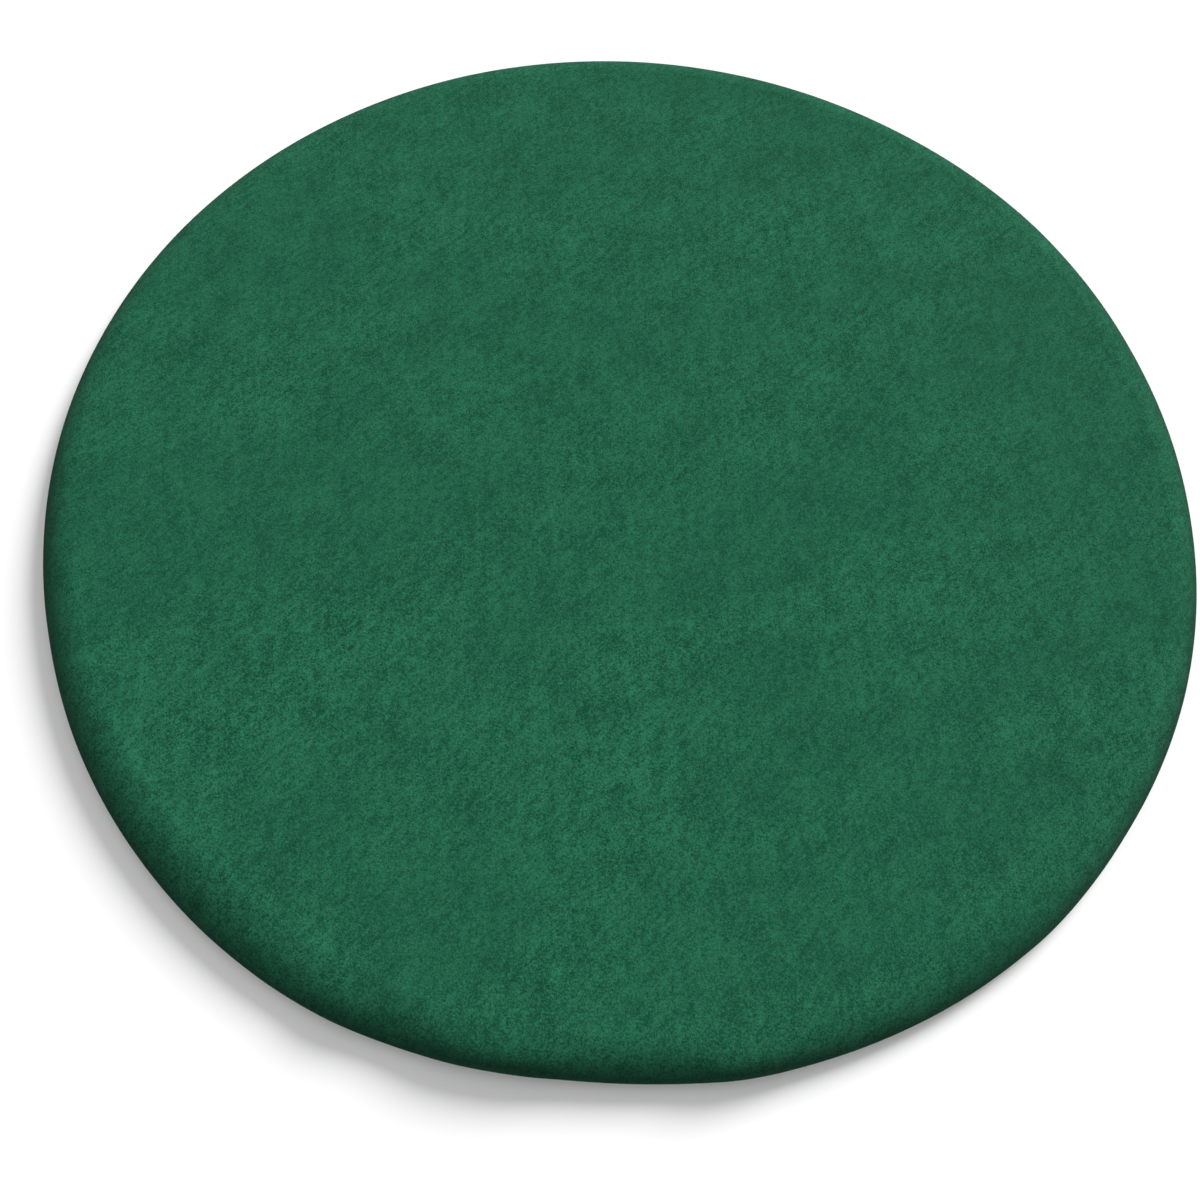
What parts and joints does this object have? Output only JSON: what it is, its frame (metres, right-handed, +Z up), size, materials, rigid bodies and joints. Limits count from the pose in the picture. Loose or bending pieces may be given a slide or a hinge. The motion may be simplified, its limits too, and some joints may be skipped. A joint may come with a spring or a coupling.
{
  "type": "folding poker table top",
  "caption": "Round 36 inch card-table top in a fitted green felt cover that folds in half, felt inside, on flush double-pivot hinges, with slide bolts and rubber feet underneath.",
  "frame": {"origin": "centre of the plane that the rubber feet rest on", "axes": "+Z up out of the felt; Y runs along the seam, front at -Y; the half at +X folds up and over the half at -X"},
  "size_m": [0.917, 0.917, 0.0295],
  "materials": {
    "felt": "matte",
    "elastic": "matte",
    "plywood": "satin",
    "lipping": "satin",
    "hinge_brass": "satin",
    "zinc": "satin",
    "steel": "polished",
    "rubber": "matte"
  },
  "bodies": {
    "left_half": {"left_board": "plywood", "left_edge_lipping": "lipping", "left_felt_cover": "felt", "left_hem_elastic": "elastic", "left_hinge_pins": "steel", "left_hinge_screws": "hinge_brass", "left_feet": "rubber", "left_foot_screws": "steel", "front_left_hinge_leaf": "hinge_brass", "middle_left_hinge_leaf": "hinge_brass", "rear_left_hinge_leaf": "hinge_brass", "front_bolt_plate": "zinc", "rear_bolt_plate": "zinc", "bolt_plate_screws": "steel"},
    "hinge_links": {"front_hinge_link": "hinge_brass", "middle_hinge_link": "hinge_brass", "rear_hinge_link": "hinge_brass"},
    "right_half": {"right_board": "plywood", "right_edge_lipping": "lipping", "right_felt_cover": "felt", "right_hem_elastic": "elastic", "right_hinge_pins": "steel", "right_hinge_screws": "hinge_brass", "right_feet": "rubber", "right_foot_screws": "steel", "front_right_hinge_leaf": "hinge_brass", "middle_right_hinge_leaf": "hinge_brass", "rear_right_hinge_leaf": "hinge_brass", "front_bolt_keeper": "zinc", "rear_bolt_keeper": "zinc", "bolt_keeper_screws": "steel"},
    "front_bolt": {"front_bolt_rod": "steel", "front_bolt_knob": "steel"},
    "rear_bolt": {"rear_bolt_rod": "steel", "rear_bolt_knob": "steel"}
  },
  "joints": [
    {"name": "link_fold", "type": "hinge", "parent": "left_half", "child": "hinge_links", "pos_m": [-0.0058, 0, 0.024], "axis": [0, -1, 0], "range_deg": [0, 90]},
    {"name": "fold", "type": "hinge", "parent": "hinge_links", "child": "right_half", "pos_m": [0.0058, 0, 0.024], "axis": [0, -1, 0], "range_deg": [0, 90]},
    {"name": "front_bolt_slide", "type": "slide", "parent": "left_half", "child": "front_bolt", "axis": [1, 0, 0], "range_m": [0, 0.022]},
    {"name": "rear_bolt_slide", "type": "slide", "parent": "left_half", "child": "rear_bolt", "axis": [1, 0, 0], "range_m": [0, 0.022]}
  ],
  "couplings": [
    {"joint": "link_fold", "follows": "fold", "ratio": 1}
  ]
}
